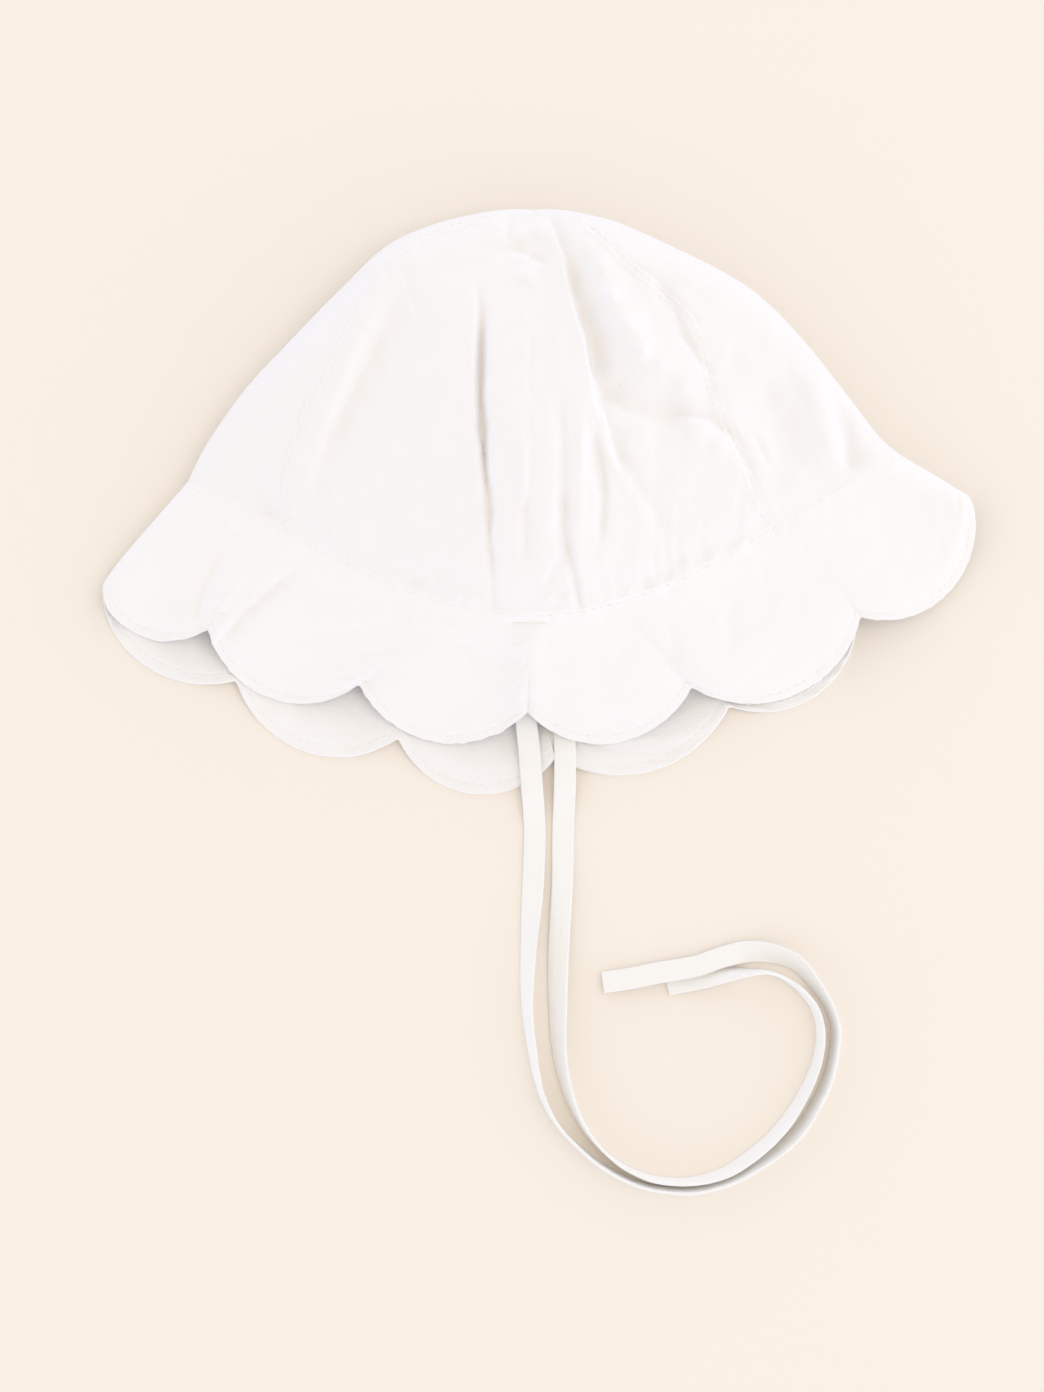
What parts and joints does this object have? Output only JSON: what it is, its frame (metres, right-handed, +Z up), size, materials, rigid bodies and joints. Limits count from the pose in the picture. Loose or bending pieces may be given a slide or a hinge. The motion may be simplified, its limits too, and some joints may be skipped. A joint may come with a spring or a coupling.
{
  "type": "baby's sun bonnet",
  "caption": "White cotton baby's sun bonnet lying folded flat, with a gathered panelled crown, a scalloped brim and two narrow flat ties.",
  "frame": {"origin": "on the table, under the middle of the folded bonnet's outline, ties left out", "axes": "+X along the folded width, +Y from the brim towards the crown's tip, +Z up from the table"},
  "size_m": [0.2718, 0.3041, 0.0359],
  "materials": {
    "crown_cotton": "matt plain-weave cotton, white",
    "brim_cotton": "matt plain-weave cotton, white",
    "tie_cotton": "matt cotton tape, white"
  },
  "bodies": {
    "root": {"crown_left_fold_panel": "crown_cotton", "crown_upper_left_panel": "crown_cotton", "crown_upper_right_panel": "crown_cotton", "crown_right_fold_panel": "crown_cotton", "crown_lower_right_panel": "crown_cotton", "crown_lower_left_panel": "crown_cotton", "brim_left_half": "brim_cotton", "brim_right_half": "brim_cotton", "tie_left": "tie_cotton", "tie_right": "tie_cotton"}
  },
  "joints": []
}
